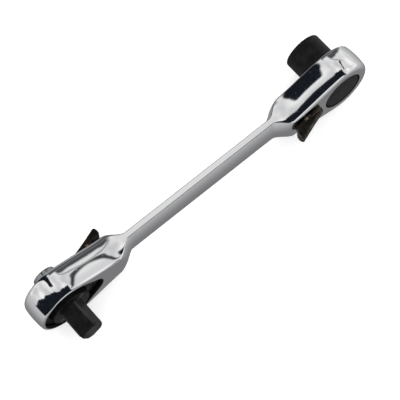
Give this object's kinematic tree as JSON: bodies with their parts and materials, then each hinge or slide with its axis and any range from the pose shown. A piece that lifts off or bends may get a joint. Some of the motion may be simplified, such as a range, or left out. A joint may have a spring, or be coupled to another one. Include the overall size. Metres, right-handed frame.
{
  "type": "double-ended ratchet wrench",
  "caption": "Chrome mini reversible ratchet wrench with a square drive at one end and a magnetic hexagon bit holder at the other, each with its own reversing lever.",
  "frame": {"origin": "centre of the bounding box in X and Y, at the lowest point of the two head rims that the tool stands on", "axes": "+X along the handle from the square-drive end to the bit end, +Z across the heads, -Y out of the square drive and +Y out of the bit holder"},
  "size_m": [0.1326, 0.03, 0.022],
  "materials": {
    "chrome": "polished mirror chrome plate",
    "black_oxide": "satin black oxide on steel",
    "cover_black": "matte black oxide sheet",
    "lever_bronze": "dark bronze-brown oxide, semi-gloss",
    "spring_steel": "plain spring steel",
    "ground_steel": "ground hardened steel",
    "button_chrome": "satin chrome",
    "magnet": "nickel plate"
  },
  "bodies": {
    "body": {"wrench_body": "chrome", "square_end_cover_plate": "cover_black", "square_end_cover_ring": "spring_steel", "square_end_pawl_pin": "ground_steel", "bit_end_cover_plate": "cover_black", "bit_end_cover_ring": "spring_steel", "bit_end_pawl_pin": "ground_steel"},
    "square_drive": {"square_drive_gear": "black_oxide", "release_spring": "spring_steel"},
    "release": {"release_button": "button_chrome"},
    "detent_ball": {"drive_detent_ball": "ground_steel"},
    "bit_holder": {"bit_holder_gear": "black_oxide", "bit_magnet": "magnet", "bit_retaining_ring": "spring_steel"},
    "square_pawl": {"square_end_pawl": "ground_steel"},
    "square_lever": {"square_end_lever": "lever_bronze", "square_end_lever_ring": "spring_steel", "square_end_plunger_spring": "spring_steel"},
    "square_plunger": {"square_end_plunger": "ground_steel"},
    "bit_pawl": {"bit_end_pawl": "ground_steel"},
    "bit_lever": {"bit_end_lever": "lever_bronze", "bit_end_lever_ring": "spring_steel", "bit_end_plunger_spring": "spring_steel"},
    "bit_plunger": {"bit_end_plunger": "ground_steel"}
  },
  "joints": [
    {"name": "square_drive_spin", "type": "hinge", "parent": "body", "child": "square_drive", "pos_m": [-0.0553, 0, 0.011], "axis": [0, -1, 0], "continuous": true},
    {"name": "bit_holder_spin", "type": "hinge", "parent": "body", "child": "bit_holder", "pos_m": [0.0553, 0, 0.011], "axis": [0, 1, 0], "continuous": true},
    {"name": "release_press", "type": "slide", "parent": "square_drive", "child": "release", "axis": [0, -1, 0], "range_m": [0, 0.0015], "stiffness_N_per_m": 200, "springref_m": -0.002, "deforming": ["release_spring"]},
    {"name": "ball_retract", "type": "slide", "parent": "square_drive", "child": "detent_ball", "axis": [-0.5, 0, 0.866], "range_m": [0, 0.00045]},
    {"name": "square_lever_swing", "type": "hinge", "parent": "body", "child": "square_lever", "pos_m": [-0.0421, 0, 0.011], "axis": [0, -1, 0], "range_deg": [-20, 20]},
    {"name": "square_pawl_rock", "type": "hinge", "parent": "body", "child": "square_pawl", "pos_m": [-0.0461, 0, 0.011], "axis": [0, -1, 0], "range_deg": [-6, 6]},
    {"name": "square_plunger_slide", "type": "slide", "parent": "square_lever", "child": "square_plunger", "axis": [1, 0, 0], "range_m": [0, 0.0003], "stiffness_N_per_m": 20, "springref_m": -0.0005, "deforming": ["square_end_plunger_spring"]},
    {"name": "bit_lever_swing", "type": "hinge", "parent": "body", "child": "bit_lever", "pos_m": [0.0421, 0, 0.011], "axis": [0, 1, 0], "range_deg": [-20, 20]},
    {"name": "bit_pawl_rock", "type": "hinge", "parent": "body", "child": "bit_pawl", "pos_m": [0.0461, 0, 0.011], "axis": [0, 1, 0], "range_deg": [-6, 6]},
    {"name": "bit_plunger_slide", "type": "slide", "parent": "bit_lever", "child": "bit_plunger", "axis": [-1, 0, 0], "range_m": [0, 0.0003], "stiffness_N_per_m": 20, "springref_m": -0.0005, "deforming": ["bit_end_plunger_spring"]}
  ],
  "couplings": [
    {"joint": "ball_retract", "follows": "release_press", "ratio": 0.3},
    {"joint": "square_pawl_rock", "follows": "square_lever_swing", "ratio": -0.3},
    {"joint": "bit_pawl_rock", "follows": "bit_lever_swing", "ratio": -0.3}
  ]
}
